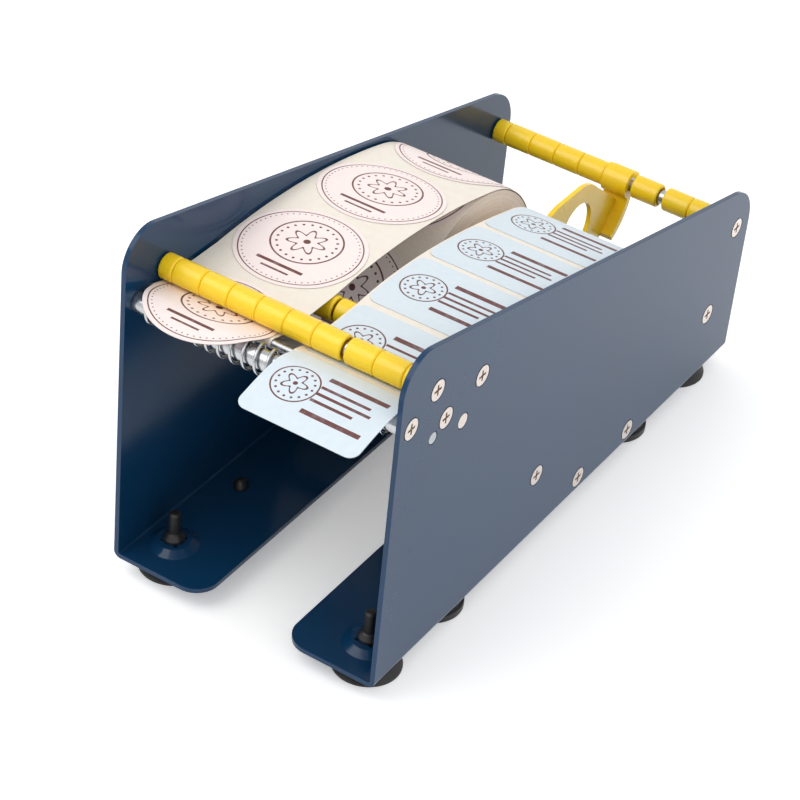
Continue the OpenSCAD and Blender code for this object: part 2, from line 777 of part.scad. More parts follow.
// ---------- feet ----------
// a suction cup on a collar, with a neck in the flange hole, a retaining cone and a pull stem
module suction_foot() {
    seat = dimple_h - fit_gap;
    over = dimple_h + sheet_t + fit_gap;
    neck = stem_r + 0.4;
    color("dimgray") rotate_extrude()
        polygon([[0, 1.6 - foot_h], [cup_r - 3, 0.4 - foot_h], [cup_r - 1.6, -foot_h],
                 [cup_r, -foot_h], [cup_r, 0.9 - foot_h], [collar_r + 1.2, -2.2],
                 [collar_r, -1.6], [collar_r, seat], [neck, seat],
                 [neck, over], [cone_r, over], [cone_r, over + 1.2], [stem_r + 0.8, over + 3],
                 [stem_r, over + 3.5], [stem_r, stem_top - 0.8], [stem_r - 0.7, stem_top],
                 [0, stem_top]]);
}

// a solid two-tier foot with a lip and a barbed cone that snaps through the flange
module bumper_foot() {
    over = sheet_t + fit_gap;
    lip_z = 3.4 - foot_h;
    color("dimgray") rotate_extrude()
        polygon([[0, -foot_h], [bumper_r - 0.6, -foot_h], [bumper_r, 0.6 - foot_h],
                 [bumper_r, lip_z], [bumper_r - 1.2, lip_z + 0.4],
                 [bumper_r - 1.2, lip_z + 1], [bumper_top_r, lip_z + 1.4],
                 [bumper_top_r, -fit_gap], [barb_neck_r, -fit_gap], [barb_neck_r, over],
                 [barb_r, over], [barb_r, over + 0.8], [barb_r - 0.7, over + 2.6],
                 [barb_r - 1.8, over + 3.8], [0, over + 4.2]]);
}

module at_foot(side, y) {
    place() translate([side * (outer_half - foot_inset), y, 0]) children();
}

module suction_foot_front_left() at_foot(-1, corner_foot_y) suction_foot();
module suction_foot_front_right() at_foot(1, corner_foot_y) suction_foot();
module suction_foot_rear_left() at_foot(-1, side_depth - corner_foot_y) suction_foot();
module suction_foot_rear_right() at_foot(1, side_depth - corner_foot_y) suction_foot();
module bumper_foot_front_left() at_foot(-1, front_bumper_y) bumper_foot();
module bumper_foot_front_right() at_foot(1, front_bumper_y) bumper_foot();
module bumper_foot_rear_left() at_foot(-1, side_depth - rear_bumper_inset) bumper_foot();
module bumper_foot_rear_right() at_foot(1, side_depth - rear_bumper_inset) bumper_foot();

left_side_panel();
right_side_panel();
guide_rod();
support_rod();
cradle_rod_front();
cradle_rod_middle();
cradle_rod_rear();
stop_rod();
rear_rod();
guide_rollers_left();
guide_rollers_right();
support_rollers_left();
support_rollers_right();
rear_rollers_left();
rear_roller_single();
rear_rollers_right();
clip_guide();
coil_rod();
coil_spring();
peel_bar();
locating_pins();
liner_rod();
countersunk_screws();
suction_foot_front_left();
suction_foot_front_right();
suction_foot_rear_left();
suction_foot_rear_right();
bumper_foot_front_left();
bumper_foot_front_right();
bumper_foot_rear_left();
bumper_foot_rear_right();
left_label_roll();
left_roll_core();
right_label_roll();
right_roll_core();
left_web();
right_web();
left_web_stickers();
right_web_labels();
dispensed_sticker();
dispensed_label();
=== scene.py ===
import math
import random
import bmesh
import bpy
from mathutils import Matrix, Vector


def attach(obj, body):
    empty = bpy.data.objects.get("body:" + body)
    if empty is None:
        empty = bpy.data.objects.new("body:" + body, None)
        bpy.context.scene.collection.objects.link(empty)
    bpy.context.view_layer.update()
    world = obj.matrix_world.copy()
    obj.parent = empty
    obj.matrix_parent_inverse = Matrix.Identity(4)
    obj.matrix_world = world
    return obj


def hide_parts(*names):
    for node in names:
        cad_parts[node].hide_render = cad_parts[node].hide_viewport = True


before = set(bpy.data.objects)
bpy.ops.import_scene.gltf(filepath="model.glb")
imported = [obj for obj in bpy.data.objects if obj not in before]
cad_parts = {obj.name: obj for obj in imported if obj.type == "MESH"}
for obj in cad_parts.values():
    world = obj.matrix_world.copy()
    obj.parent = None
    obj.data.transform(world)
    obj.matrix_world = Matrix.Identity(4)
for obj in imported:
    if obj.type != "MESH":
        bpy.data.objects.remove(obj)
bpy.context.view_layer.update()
random.seed(7)

# where the panels' front edge and underside lie in the ground frame, in mm
machine = {"frontShift": -124.0, "footHeight": 8.0}
# points closer than this are one, in metres
merge = {"cad": 0.000004, "turned": 0.000001, "wire": 0.0000005, "cut": 0.00001}


def place(x, y, z):
    # from the machine's own measurements to the ground frame, in metres
    return Vector((x, y + machine["frontShift"], z + machine["footHeight"])) / 1000


def toLinear(hexColour):
    # sRGB hex to the linear values that the shaders take
    parts = [int(hexColour[i:i + 2], 16) / 255 for i in (1, 3, 5)]
    return [c / 12.92 if c <= 0.04045 else ((c + 0.055) / 1.055) ** 2.4 for c in parts] + [1.0]


def addNode(tree, kind, settings=None, links=None):
    node = tree.nodes.new(kind)
    for key, value in (settings or {}).items():
        if isinstance(key, int) or (key in node.inputs and not hasattr(node, key)):
            node.inputs[key].default_value = value
        else:
            setattr(node, key, value)
    for key, source in (links or {}).items():
        tree.links.new(source, node.inputs[key])
    return node


def newMaterial(name, colour, **surface):
    # a Principled surface with its fixed values on its own sockets
    material = bpy.data.materials.new(name)
    material.use_nodes = True
    tree = material.node_tree
    shader = tree.nodes["Principled BSDF"]
    shader.inputs["Base Color"].default_value = toLinear(colour)
    for socket, value in surface.items():
        shader.inputs[socket.replace("_", " ")].default_value = value
    material.diffuse_color = toLinear(colour)
    return material, tree, shader


def surfaceDetail(tree, shader, look, pattern, height):
    # one pattern varies the colour and the gloss, and a height gives the fine relief;
    # gives back the colour, for what is laid over it
    colour = addNode(tree, "ShaderNodeMix",
                     {"data_type": "RGBA", 6: toLinear(look["dark"]), 7: toLinear(look["light"])},
                     {0: pattern})
    tree.links.new(colour.outputs[2], shader.inputs["Base Color"])
    if "roughness" in look:
        low, high = look["roughness"]  # most of a noise lies between 0.3 and 0.7
        gloss = addNode(tree, "ShaderNodeMapRange", {1: 0.3, 2: 0.7, 3: low, 4: high}, {0: pattern})
        tree.links.new(gloss.outputs[0], shader.inputs["Roughness"])
    if "bump" in look:
        relief = addNode(tree, "ShaderNodeBump",
                         {"Strength": look["bump"], "Distance": look["bumpMm"] / 1000},
                         {"Height": height})
        tree.links.new(relief.outputs[0], shader.inputs["Normal"])
    return colour.outputs[2]


# powder-coated steel sheet, glossy navy: an even orange peel about 1.5 mm across
def navyPowderCoat():
    look = {"dark": "#0a3150", "light": "#0f3b60", "peelMm": 1.5, "cloudMm": 60,
            "roughness": (0.12, 0.2), "bump": 0.06, "bumpMm": 0.1}
    material, tree, shader = newMaterial("navyPowderCoatedSteel", look["light"], Roughness=0.16,
                                         IOR=1.38)
    coords = addNode(tree, "ShaderNodeTexCoord").outputs["Object"]
    peel = addNode(tree, "ShaderNodeTexNoise", {"Scale": 1000 / look["peelMm"], "Detail": 1.0},
                   {"Vector": coords}).outputs["Fac"]
    clouds = addNode(tree, "ShaderNodeTexNoise", {"Scale": 1000 / look["cloudMm"], "Detail": 4.0},
                     {"Vector": coords}).outputs["Fac"]
    surfaceDetail(tree, shader, look, clouds, peel)
    return material


# injection-moulded ABS, glossy yellow: faint flow streaks along the turning axis
def yellowAbs():
    look = {"dark": "#ffd015", "light": "#ffd824", "flowMm": 9, "stretch": (0.25, 1, 1),
            "roughness": (0.2, 0.3), "bump": 0.04, "bumpMm": 0.2}
    material, tree, shader = newMaterial("glossyYellowAbs", look["light"], Roughness=0.24, IOR=1.54,
                                         Subsurface_Weight=0.25, Subsurface_Scale=0.003)
    coords = addNode(tree, "ShaderNodeTexCoord").outputs["Object"]
    flow = addNode(tree, "ShaderNodeMapping", {"Scale": look["stretch"]}, {"Vector": coords})
    streaks = addNode(tree, "ShaderNodeTexNoise", {"Scale": 1000 / look["flowMm"], "Detail": 3.0},
                      {"Vector": flow.outputs[0]}).outputs["Fac"]
    surfaceDetail(tree, shader, look, streaks, streaks)
    return material


# turned and polished steel rod: fine rings round the rod, drawn 0.35 mm apart so that they show
def turnedSteel(name, dark, light, roughness):
    look = {"dark": dark, "light": light, "ringMm": 0.35, "stretch": (1, 0.02, 0.02),
            "roughness": (roughness - 0.05, roughness + 0.08), "bump": 0.05, "bumpMm": 0.05}
    material, tree, shader = newMaterial(name, look["light"], Metallic=1.0, Roughness=roughness)
    coords = addNode(tree, "ShaderNodeTexCoord").outputs["Object"]
    rings = addNode(tree, "ShaderNodeMapping", {"Scale": look["stretch"]}, {"Vector": coords})
    grain = addNode(tree, "ShaderNodeTexNoise", {"Scale": 1000 / look["ringMm"], "Detail": 2.0},
                    {"Vector": rings.outputs[0]}).outputs["Fac"]
    surfaceDetail(tree, shader, look, grain, grain)
    return material


# nickel-plated screw steel: soft sheen with small rubbed spots
def nickelPlate():
    look = {"dark": "#c9bbb0", "light": "#f0e7e0", "spotMm": 0.8, "roughness": (0.24, 0.4)}
    material, tree, shader = newMaterial("nickelPlatedSteel", look["light"], Metallic=1.0,
                                         Roughness=0.3)
    coords = addNode(tree, "ShaderNodeTexCoord").outputs["Object"]
    spots = addNode(tree, "ShaderNodeTexNoise", {"Scale": 1000 / look["spotMm"], "Detail": 3.0},
                    {"Vector": coords}).outputs["Fac"]
    surfaceDetail(tree, shader, look, spots, spots)
    return material


# moulded rubber, black and slightly shiny, with a fine moulded grain about 0.6 mm across
def blackRubber():
    look = {"dark": "#0b0b0c", "light": "#1d1d1f", "grainMm": 0.6, "roughness": (0.38, 0.55),
            "bump": 0.12, "bumpMm": 0.08}
    material, tree, shader = newMaterial("mouldedBlackRubber", look["light"], Roughness=0.45,
                                         IOR=1.52)
    coords = addNode(tree, "ShaderNodeTexCoord").outputs["Object"]
    grain = addNode(tree, "ShaderNodeTexNoise", {"Scale": 1000 / look["grainMm"], "Detail": 2.0},
                    {"Vector": coords}).outputs["Fac"]
    surfaceDetail(tree, shader, look, grain, grain)
    return material


# wound paper seen edge on: thin rings of paper and adhesive, drawn 0.7 mm apart so that they show
def woundPaper(name, centre):
    look = {"dark": "#e6d3bd", "light": "#fdf4ea", "layerMm": 0.7, "fibresPerMetre": 900.0,
            "fibreShare": 0.3, "bump": 0.35, "bumpMm": 0.2}
    material, tree, shader = newMaterial(name, look["light"], Roughness=0.75, IOR=1.45)
    coords = addNode(tree, "ShaderNodeTexCoord").outputs["Object"]
    centred = addNode(tree, "ShaderNodeMapping", {"Location": (0, -centre[1], -centre[2])},
                      {"Vector": coords})
    flat = addNode(tree, "ShaderNodeVectorMath", {"operation": "MULTIPLY", 1: (0, 1, 1)},
                   {0: centred.outputs[0]})
    radius = addNode(tree, "ShaderNodeVectorMath", {"operation": "LENGTH"},
                     {0: flat.outputs[0]}).outputs["Value"]
    layers = addNode(tree, "ShaderNodeTexNoise",
                     {"noise_dimensions": "1D", "Scale": 1000 / look["layerMm"], "Detail": 2.0},
                     {"W": radius}).outputs["Fac"]
    fibres = addNode(tree, "ShaderNodeTexNoise",
                     {"Scale": look["fibresPerMetre"], "Detail": 2.0},
                     {"Vector": coords}).outputs["Fac"]
    mixed = addNode(tree, "ShaderNodeMath", {"operation": "MULTIPLY_ADD", 1: look["fibreShare"]},
                    {0: fibres, 2: layers}).outputs[0]
    shade = addNode(tree, "ShaderNodeMapRange", {1: 0.4, 2: 0.9, 3: 0.0, 4: 1.0},
                    {0: mixed}).outputs[0]
    surfaceDetail(tree, shader, look, shade, layers)
    return material


# spiral-wound cardboard tube: brown board with fibres about 1.2 mm across
def coreBoard():
    look = {"dark": "#8a6a49", "light": "#b08d66", "fibreMm": 1.2, "bump": 0.3, "bumpMm": 0.1}
    material, tree, shader = newMaterial("spiralWoundCardboard", look["light"], Roughness=0.85,
                                         IOR=1.4)
    coords = addNode(tree, "ShaderNodeTexCoord").outputs["Object"]
    fibres = addNode(tree, "ShaderNodeTexNoise", {"Scale": 1000 / look["fibreMm"], "Detail": 5.0},
                     {"Vector": coords}).outputs["Fac"]
    surfaceDetail(tree, shader, look, fibres, fibres)
    return material


# silicone-coated glassine liner: cream, satin, with a cloudy fibre spread a few mm across
def glassineLiner():
    look = {"dark": "#ece1d2", "light": "#f7efe4", "cloudMm": 4, "bump": 0.05, "bumpMm": 0.1}
    material, tree, shader = newMaterial("siliconeCoatedLiner", look["light"], Roughness=0.38,
                                         IOR=1.45, Subsurface_Weight=0.1, Subsurface_Scale=0.001)
    coords = addNode(tree, "ShaderNodeTexCoord").outputs["Object"]
    clouds = addNode(tree, "ShaderNodeTexNoise", {"Scale": 1000 / look["cloudMm"], "Detail": 5.0},
                     {"Vector": coords}).outputs["Fac"]
    surfaceDetail(tree, shader, look, clouds, clouds)
    return material


def highest(tree, values):
    # the highest of several values: where they are shapes, 1 wherever any of them is
    top = values[0]
    for value in values[1:]:
        top = addNode(tree, "ShaderNodeMath", {"operation": "MAXIMUM"},
                      {0: top, 1: value}).outputs[0]
    return top


def printedBar(tree, across, along, middle, size):
    # 1 inside a bar, in mm on the label
    inside = [addNode(tree, "ShaderNodeMath", {"operation": "COMPARE", 1: centre, 2: full / 2},
                      {0: value}).outputs[0]
              for value, centre, full in zip((across, along), middle, size)]
    return addNode(tree, "ShaderNodeMath", {"operation": "MULTIPLY"},
                   {0: inside[0], 1: inside[1]}).outputs[0]


def fromCentre(tree, across, along, centre):
    # how far a point of the label lies from a centre, and in which direction
    x, y = [addNode(tree, "ShaderNodeMath", {"operation": "SUBTRACT", 1: middle},
                    {0: value}).outputs[0] for value, middle in zip((across, along), centre)]
    plane = addNode(tree, "ShaderNodeCombineXYZ", {}, {0: x, 1: y}).outputs[0]
    radius = addNode(tree, "ShaderNodeVectorMath", {"operation": "LENGTH"},
                     {0: plane}).outputs["Value"]
    angle = addNode(tree, "ShaderNodeMath", {"operation": "ARCTAN2"}, {0: y, 1: x}).outputs[0]
    return radius, angle


def dottedRing(tree, across, along, look):
    # a thin ring with a ring of dots inside it
    radius, angle = fromCentre(tree, across, along, look["centre"])
    line = addNode(tree, "ShaderNodeMath",
                   {"operation": "COMPARE", 1: look["ringR"], 2: look["lineMm"] / 2},
                   {0: radius}).outputs[0]
    turns = addNode(tree, "ShaderNodeMath",
                    {"operation": "MULTIPLY", 1: look["dots"] / (2 * math.pi)},
                    {0: angle}).outputs[0]
    step = addNode(tree, "ShaderNodeMath", {"operation": "PINGPONG", 1: 0.5}, {0: turns}).outputs[0]
    beside = addNode(tree, "ShaderNodeMath",
                     {"operation": "MULTIPLY", 1: 2 * math.pi * look["dotsR"] / look["dots"]},
                     {0: step}).outputs[0]
    outward = addNode(tree, "ShaderNodeMath", {"operation": "SUBTRACT", 1: look["dotsR"]},
                      {0: radius}).outputs[0]
    offDot = addNode(tree, "ShaderNodeCombineXYZ", {}, {0: beside, 1: outward}).outputs[0]
    dotDistance = addNode(tree, "ShaderNodeVectorMath", {"operation": "LENGTH"},
                          {0: offDot}).outputs["Value"]
    dots = addNode(tree, "ShaderNodeMath", {"operation": "COMPARE", 1: 0.0, 2: look["dotR"]},
                   {0: dotDistance}).outputs[0]
    return highest(tree, [line, dots])


def flowerOutline(tree, across, along, look):
    # a petalled outline round a solid eye
    radius, angle = fromCentre(tree, across, along, look["centre"])
    petals = addNode(tree, "ShaderNodeMath", {"operation": "MULTIPLY", 1: look["petals"]},
                     {0: angle}).outputs[0]
    wave = addNode(tree, "ShaderNodeMath", {"operation": "COSINE"}, {0: petals}).outputs[0]
    waved = addNode(tree, "ShaderNodeMath", {"operation": "MULTIPLY_ADD", 1: -look["petalMm"]},
                    {0: wave, 2: radius}).outputs[0]
    line = addNode(tree, "ShaderNodeMath",
                   {"operation": "COMPARE", 1: look["flowerR"], 2: look["lineMm"] / 2},
                   {0: waved}).outputs[0]
    eye = addNode(tree, "ShaderNodeMath", {"operation": "COMPARE", 1: 0.0, 2: look["eyeR"]},
                  {0: radius}).outputs[0]
    return highest(tree, [line, eye])


# the prints are generic, in mm from a label's near left corner; a bar is its middle and its size
roundPrint = {
    "papers": ("#f6e6e3", "#fcefec"), "ink": "#6b3f3c",
    "rings": ({"centre": (25, 29), "ringR": 13.5, "lineMm": 0.7, "dots": 22, "dotsR": 11.2,
               "dotR": 0.55},
              {"centre": (25, 25), "ringR": 23.0, "lineMm": 0.5, "dots": 60, "dotsR": 21.6,
               "dotR": 0.3}),
    "flower": {"centre": (25, 29), "petals": 7.0, "petalMm": 1.7, "flowerR": 5.8, "lineMm": 0.98,
               "eyeR": 1.4},
    "bars": (((25, 11.5), (20, 1.5)), ((25, 8.2), (12, 1.0))),
}
squarePrint = {
    "papers": ("#d3e0e8", "#dfe9f0"), "ink": "#6b3f3c",
    "rings": ({"centre": (12.5, 18.5), "ringR": 8.6, "lineMm": 0.6, "dots": 16, "dotsR": 6.8,
               "dotR": 0.5},),
    "flower": {"centre": (12.5, 18.5), "petals": 5.0, "petalMm": 1.2, "flowerR": 3.6,
               "lineMm": 0.84, "eyeR": 0.9},
    "bars": (((33, 27), (24, 2.4)), ((31, 21.8), (20, 1.3)), ((32, 18.4), (22, 1.3)),
             ((29.5, 15.0), (17, 1.3)), ((33, 9.2), (24, 2.0))),
}


# coated label paper with a brown print; the pattern follows each label's own UV map, in mm
def printedLabel(name, design):
    look = {"fibreMm": 2.5, "inkLeast": 0.82, "bump": 0.03, "bumpMm": 0.1,
            "dark": design["papers"][0], "light": design["papers"][1]}
    material, tree, shader = newMaterial(name, look["light"], Roughness=0.55, IOR=1.45)
    uv = addNode(tree, "ShaderNodeUVMap", {"uv_map": "labelMm"}).outputs[0]
    axes = addNode(tree, "ShaderNodeSeparateXYZ", {}, {0: uv})
    across, along = axes.outputs[0], axes.outputs[1]
    mask = highest(tree, [dottedRing(tree, across, along, ring) for ring in design["rings"]]
                   + [flowerOutline(tree, across, along, design["flower"])]
                   + [printedBar(tree, across, along, middle, size)
                      for middle, size in design["bars"]])
    coords = addNode(tree, "ShaderNodeTexCoord").outputs["Object"]
    fibres = addNode(tree, "ShaderNodeTexNoise", {"Scale": 1000 / look["fibreMm"], "Detail": 3.0},
                     {"Vector": coords}).outputs["Fac"]
    sheetColour = surfaceDetail(tree, shader, look, fibres, fibres)
    # the ink is a touch uneven
    worn = addNode(tree, "ShaderNodeMapRange", {1: 0.2, 2: 0.5, 3: look["inkLeast"], 4: 1.0},
                   {0: fibres}).outputs[0]
    inked = addNode(tree, "ShaderNodeMath", {"operation": "MULTIPLY"}, {0: mask, 1: worn})
    mix = addNode(tree, "ShaderNodeMix", {"data_type": "RGBA", 7: toLinear(design["ink"])},
                  {0: inked.outputs[0], 6: sheetColour})
    tree.links.new(mix.outputs[2], shader.inputs["Base Color"])
    return material


finishes = {
    "paint": navyPowderCoat(),
    "yellow": yellowAbs(),
    "rod": turnedSteel("polishedRodSteel", "#8f9296", "#d6d8da", 0.2),
    "wire": turnedSteel("drawnSpringWire", "#85888c", "#e0e1e2", 0.18),
    "bar": turnedSteel("groundPeelBarSteel", "#84878b", "#c6c8ca", 0.3),
    "nickel": nickelPlate(),
    "rubber": blackRubber(),
    "board": coreBoard(),
    "liner": glassineLiner(),
    "roundLabel": printedLabel("palePinkLabelPaper", roundPrint),
    "squareLabel": printedLabel("paleBlueLabelPaper", squarePrint),
}
print("materials made")


def evenShading(piece):
    # large faces keep their own shade right up to the small rounded edges
    weighted = piece.modifiers.new("evenShading", "WEIGHTED_NORMAL")
    weighted.weight, weighted.keep_sharp = 100, True


def finishPiece(name, bm, finish, body, replaced=(), smoothAngle=35):
    mesh = bpy.data.meshes.new(name)
    bm.to_mesh(mesh)
    bm.free()
    mesh.materials.append(finish)
    piece = bpy.data.objects.new(name, mesh)
    bpy.context.scene.collection.objects.link(piece)
    mesh.shade_smooth()
    mesh.set_sharp_from_angle(angle=math.radians(smoothAngle))
    evenShading(piece)
    if replaced:
        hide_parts(*replaced)
    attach(piece, body)
    return piece


def roundedEdges(bm, radiusMm, segments=2, sharpAngle=30):
    hard = [e for e in bm.edges if len(e.link_faces) == 2
            and e.calc_face_angle(0) > math.radians(sharpAngle)]
    bmesh.ops.bevel(bm, geom=hard, offset=radiusMm / 1000, offset_type="OFFSET",
                    segments=segments, profile=0.5, affect="EDGES", clamp_overlap=True,
                    material=-1)


def softened(node, finish, body, radiusMm, segments=2):
    # a merged copy of a rigid node with its hard edges rounded
    bm = bmesh.new()
    bm.from_mesh(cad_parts[node].data)
    bmesh.ops.remove_doubles(bm, verts=bm.verts, dist=merge["cad"])
    bmesh.ops.dissolve_limit(bm, angle_limit=math.radians(1), verts=bm.verts, edges=bm.edges)
    roundedEdges(bm, radiusMm, segments)
    finishPiece(node + "_dressed", bm, finish, body, (node,))


def spinAlongX(outline, at, steps):
    # spins an outline of (x, radius) points in mm into a closed turned piece about the X direction
    bm = bmesh.new()
    verts = [bm.verts.new(place(x, at[0] + r, at[1])) for x, r in outline]
    edges = [bm.edges.new((verts[i], verts[(i + 1) % len(verts)])) for i in range(len(verts))]
    bmesh.ops.spin(bm, geom=verts + edges, cent=place(0, at[0], at[1]), axis=(1, 0, 0),
                   angle=2 * math.pi, steps=steps, use_merge=True, use_duplicate=False)
    bmesh.ops.remove_doubles(bm, verts=bm.verts, dist=merge["turned"])
    bmesh.ops.recalc_face_normals(bm, faces=bm.faces)
    return bm


sidePanels = {"nodes": ("left_side_panel", "right_side_panel"), "finish": "paint", "edgeMm": 0.35}
rods = {"nodes": ("guide_rod", "support_rod", "cradle_rod_front", "cradle_rod_middle",
                  "cradle_rod_rear", "stop_rod", "rear_rod", "coil_rod", "liner_rod"),
        "finish": "rod", "edgeMm": 0.3}
peelBar = {"nodes": ("peel_bar",), "finish": "bar", "edgeMm": 0.15}
locatingPins = {"nodes": ("locating_pins",), "finish": "nickel", "edgeMm": 0.25}
screws = {"nodes": ("countersunk_screws",), "finish": "nickel", "edgeMm": 0.12}
for part in (sidePanels, rods, peelBar, locatingPins, screws):
    for node in part["nodes"]:
        softened(node, finishes[part["finish"]], "frame", part["edgeMm"])
print("panels, rods and screws dressed")

rollers = {
    "outerR": 5.0, "boreR": 3.08, "recessR": 4.0, "recessMm": 1.0, "steps": 64,
    "pitch": 12.0, "short": 6.0, "start": -56.6, "end": 56.6,
    # a groove's size, its shoulder as shares of that along and down, and its bottom's share
    "grooveMm": 0.8, "shoulder": ((0.1, 0.6), (0.4, 0.2), (1.0, 0.0)), "bottom": 1.3,
    "rod": {"guide": (22.6, 122.0), "support": (53.4, 110.4), "rear": (259.0, 67.0)},
    # gaps to the row or roller before, and the clip guide's hook between two of them with its gap
    "gap": {"guide": 1.6, "support": 1.0, "single": 1.6, "rear": 2.8}, "clipMm": (0.4, 11.6),
}


def rollerRow(node, rod, start, lengths):
    # a row of rollers on one sleeve, with a rounded groove between neighbours
    outer, groove, recess = rollers["outerR"], rollers["grooveMm"], rollers["recessMm"]
    end = start + sum(lengths)
    outline = [(start + recess, rollers["boreR"]), (start + recess, rollers["recessR"]),
               (start, rollers["recessR"]), (start, outer - groove)]
    x = start
    for i, length in enumerate(lengths):
        outline += [(x + groove * along, outer - groove * down)
                    for along, down in rollers["shoulder"]]
        x += length
        outline += [(x - groove * along, outer - groove * down)
                    for along, down in reversed(rollers["shoulder"])]
        if i < len(lengths) - 1:
            outline.append((x, outer - groove * rollers["bottom"]))
    outline += [(end, outer - groove), (end, rollers["recessR"]),
                (end - recess, rollers["recessR"]), (end - recess, rollers["boreR"])]
    bm = spinAlongX(outline, rollers["rod"][rod], rollers["steps"])
    finishPiece(node + "_dressed", bm, finishes["yellow"], node, (node,), smoothAngle=40)


def fromLeft(full):
    # one short roller against the left panel, and the full ones beside it
    return [rollers["short"]] + [rollers["pitch"]] * full


def toRight(start, full):
    # full rollers, and a last one that fills what is left of the width
    return [rollers["pitch"]] * full + [rollers["end"] - start - rollers["pitch"] * full]


def makeRollers():
    left, pitch, gap = rollers["start"], rollers["pitch"], rollers["gap"]
    guideRight = left + sum(fromLeft(6)) + gap["guide"]
    rollerRow("guide_rollers_left", "guide", left, fromLeft(6))
    rollerRow("guide_rollers_right", "guide", guideRight, toRight(guideRight, 2))
    leftEnd = left + sum(fromLeft(4))
    supportRight = leftEnd + gap["support"]
    rollerRow("support_rollers_left", "support", left, fromLeft(4))
    rollerRow("support_rollers_right", "support", supportRight, toRight(supportRight, 4))
    single = leftEnd + sum(rollers["clipMm"]) + gap["single"]
    rearRight = single + pitch + gap["rear"]
    rollerRow("rear_rollers_left", "rear", left, fromLeft(4))
    rollerRow("rear_roller_single", "rear", single, [pitch])
    rollerRow("rear_rollers_right", "rear", rearRight, toRight(rearRight, 2))


makeRollers()

clipGuide = {"edgeMm": 0.45, "segments": 3}
softened("clip_guide", finishes["yellow"], "clip", clipGuide["edgeMm"], clipGuide["segments"])
print("rollers and clip guide made")

coil = {"at": (7.2, 114.5), "r": 5.2, "wireR": 0.6, "length": 104.0, "turns": 20,
        "stepsPerTurn": 24, "sides": 12}


def makeCoil():
    bm = bmesh.new()
    ring = bmesh.ops.create_circle(bm, radius=coil["wireR"] / 1000, segments=coil["sides"],
                                   cap_ends=False)["verts"]
    lean = math.atan(coil["length"] / coil["turns"] / (2 * math.pi * coil["r"]))
    start = place(-coil["length"] / 2, coil["at"][0] + coil["r"], coil["at"][1])
    # the ring faces along the wire, which sets off upwards and a little towards +X
    bmesh.ops.rotate(bm, verts=ring, cent=(0, 0, 0), matrix=Matrix.Rotation(lean, 3, "Y"))
    bmesh.ops.translate(bm, verts=ring, vec=start)
    along = Vector((math.sin(lean), 0, math.cos(lean)))
    steps = coil["turns"] * coil["stepsPerTurn"]
    edges = list({e for v in ring for e in v.link_edges})
    swept = bmesh.ops.spin(bm, geom=list(ring) + edges, cent=place(0, *coil["at"]),
                           axis=(1, 0, 0), dvec=(coil["length"] / steps / 1000, 0, 0),
                           angle=2 * math.pi * coil["turns"], steps=steps, use_merge=False,
                           use_duplicate=False)["geom_last"]
    # each end runs on straight for one wire diameter and is closed
    for loop, way in ((edges, -1), ([g for g in swept if isinstance(g, bmesh.types.BMEdge)], 1)):
        grown = bmesh.ops.extrude_edge_only(bm, edges=loop)["geom"]
        newVerts = [g for g in grown if isinstance(g, bmesh.types.BMVert)]
        newEdges = [g for g in grown if isinstance(g, bmesh.types.BMEdge)
                    and all(v in newVerts for v in g.verts)]
        bmesh.ops.translate(bm, verts=newVerts, vec=along * way * 2 * coil["wireR"] / 1000)
        bmesh.ops.contextual_create(bm, geom=newEdges)
    bmesh.ops.remove_doubles(bm, verts=bm.verts, dist=merge["wire"])
    bmesh.ops.recalc_face_normals(bm, faces=bm.faces)
    return bm


finishPiece("coil_spring_dressed", makeCoil(), finishes["wire"], "coil", ("coil_spring",),
            smoothAngle=60)
print("coil made")

# each roll lies on two cradle rods; "at" is its axis
rolls = {
    "left": {"at": (150.8394, 58.6420), "r": 48.0, "x": (-56.0, -4.0), "body": "left_roll"},
    "right": {"at": (149.6206, 56.7786), "r": 46.0, "x": (5.0, 56.0), "body": "right_roll"},
    "coreR": 12.5, "coreWall": 1.6, "coreEdgeMm": 0.25, "steps": 128,
    "layerMm": 1.1, "layerGapMm": 0.12, "unevenMm": (0.02, 0.12),
}


def unevenFace(x, inward, low, high):
    # the wound layers stand a little uneven on both end faces
    count = int((high - low) / rolls["layerMm"])
    outline = [(x, low)]
    for i in range(count):
        a = low + (high - low) * i / count
        b = low + (high - low) * (i + 1) / count
        push = random.uniform(*rolls["unevenMm"]) * inward
        outline += [(x + push, a + rolls["layerGapMm"] / 2),
                    (x + push, b - rolls["layerGapMm"] / 2)]
    return outline + [(x, high)]


def makeRoll(side):
    spec = rolls[side]
    low, high = rolls["coreR"] + rolls["coreWall"], spec["r"]
    leftFace = unevenFace(spec["x"][0], 1, low, high)
    rightFace = unevenFace(spec["x"][1], -1, low, high)
    bm = spinAlongX(leftFace + rightFace[::-1], spec["at"], rolls["steps"])
    paper = woundPaper(side + "WoundLabelPaper", place(0, *spec["at"]))
    finishPiece(side + "_label_roll_dressed", bm, paper, spec["body"], (side + "_label_roll",),
                smoothAngle=40)
    core = spinAlongX([(spec["x"][0], rolls["coreR"]), (spec["x"][1], rolls["coreR"]),
                       (spec["x"][1], low), (spec["x"][0], low)], spec["at"], rolls["steps"])
    roundedEdges(core, rolls["coreEdgeMm"])
    finishPiece(side + "_roll_core_dressed", core, finishes["board"], spec["body"],
                (side + "_roll_core",))


makeRoll("left")
makeRoll("right")
print("rolls made")

